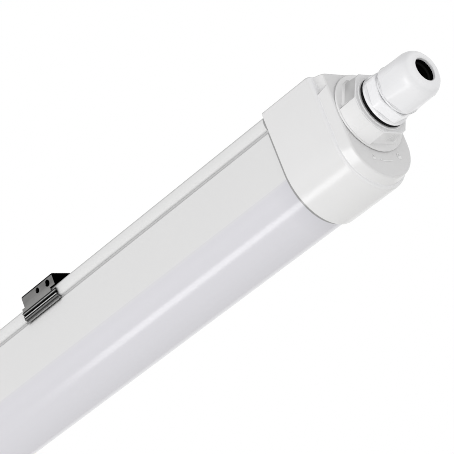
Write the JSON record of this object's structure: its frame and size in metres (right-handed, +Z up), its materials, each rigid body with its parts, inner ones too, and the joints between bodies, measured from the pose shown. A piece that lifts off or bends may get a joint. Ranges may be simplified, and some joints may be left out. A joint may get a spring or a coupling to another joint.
{
  "type": "vapor tight light fixture",
  "caption": "Slim vapor tight LED batten: D-shaped tube with opal lower half, white end caps, twist-lock wiring cover, domed cable gland and steel spring clips on its rails.",
  "frame": {"origin": "middle of the tube's length, on the ceiling plane that the two clips' flat webs rest on", "axes": "+X along the tube towards the cable gland, +Z up into the ceiling, light leaves downwards along -Z"},
  "size_m": [1.238, 0.0492, 0.064],
  "materials": {
    "opaque_extrusion": "opaque warm white upper part and opal cool white lower part of one polycarbonate extrusion",
    "white_moulding": "satin white polycarbonate moulding",
    "white_gland": "smooth white nylon",
    "black_rubber": "black sealing rubber",
    "dark_nylon": "dark nylon slip ring",
    "grey_silicone": "grey silicone foam",
    "stainless_steel": "brushed stainless steel",
    "aluminium_sheet": "plain mill finish",
    "board_white": "white solder mask on the LED boards",
    "rivet_nylon": "moulded nylon snap rivets",
    "driver_steel": "zinc plated sheet",
    "driver_plastic": "white moulded plastic",
    "circuit_green": "green circuit board with its parts",
    "live_brown": "brown wire insulation",
    "neutral_blue": "blue wire insulation",
    "earth_green": "green and yellow wire insulation",
    "plus_red": "red wire insulation",
    "minus_black": "black wire insulation"
  },
  "bodies": {
    "housing": {"housing_tube": "opaque_extrusion", "end_cap_supply": "white_moulding", "end_cap_blank": "white_moulding", "gasket_supply": "grey_silicone", "gasket_blank": "grey_silicone", "earth_lug": "stainless_steel", "earth_screw": "stainless_steel", "driver_screw_1": "stainless_steel", "driver_screw_2": "stainless_steel", "clamp_screw_1": "stainless_steel", "clamp_screw_2": "stainless_steel", "clamp_screw_3": "stainless_steel", "gear_tray": "aluminium_sheet", "led_board_supply": "board_white", "led_board_blank": "board_white", "board_link": "board_white", "board_rivet_1": "rivet_nylon", "board_rivet_2": "rivet_nylon", "board_rivet_3": "rivet_nylon", "board_rivet_4": "rivet_nylon", "driver_case": "driver_steel", "driver_plug_supply": "driver_plastic", "driver_plug_led": "driver_plastic", "terminal_block": "driver_plastic", "driver_board": "circuit_green", "live_lead": "live_brown", "neutral_lead": "neutral_blue", "earth_lead": "earth_green", "plus_lead": "plus_red", "minus_lead": "minus_black"},
    "terminal_cover": {"twist_collar": "white_gland", "cover_seal": "black_rubber", "ring_seal": "black_rubber", "gland_body": "white_gland", "gland_bush": "black_rubber"},
    "slip_ring": {"slip_ring": "dark_nylon"},
    "gland_nut": {"gland_nut": "white_gland"},
    "clip_supply": {"clip_supply": "stainless_steel"},
    "clip_blank": {"clip_blank": "stainless_steel"}
  },
  "joints": [
    {"name": "terminal_cover_twist", "type": "hinge", "parent": "housing", "child": "terminal_cover", "pos_m": [0.56, 0, -0.0273], "axis": [1, 0, 0], "range_deg": [0, 45]},
    {"name": "slip_ring_slide", "type": "slide", "parent": "terminal_cover", "child": "slip_ring", "axis": [1, 0, 0], "range_m": [0, 0.00451]},
    {"name": "gland_nut_turn", "type": "hinge", "parent": "slip_ring", "child": "gland_nut", "pos_m": [0.56, 0, -0.0273], "axis": [1, 0, 0], "range_deg": [0, 1080]},
    {"name": "clip_supply_slide", "type": "slide", "parent": "housing", "child": "clip_supply", "axis": [1, 0, 0], "range_m": [-0.3668, 0.162]},
    {"name": "clip_blank_slide", "type": "slide", "parent": "housing", "child": "clip_blank", "axis": [1, 0, 0], "range_m": [-0.162, 0.3668]}
  ],
  "couplings": [
    {"joint": "slip_ring_slide", "follows": "gland_nut_turn", "m_per_rad": 0.00023873}
  ]
}
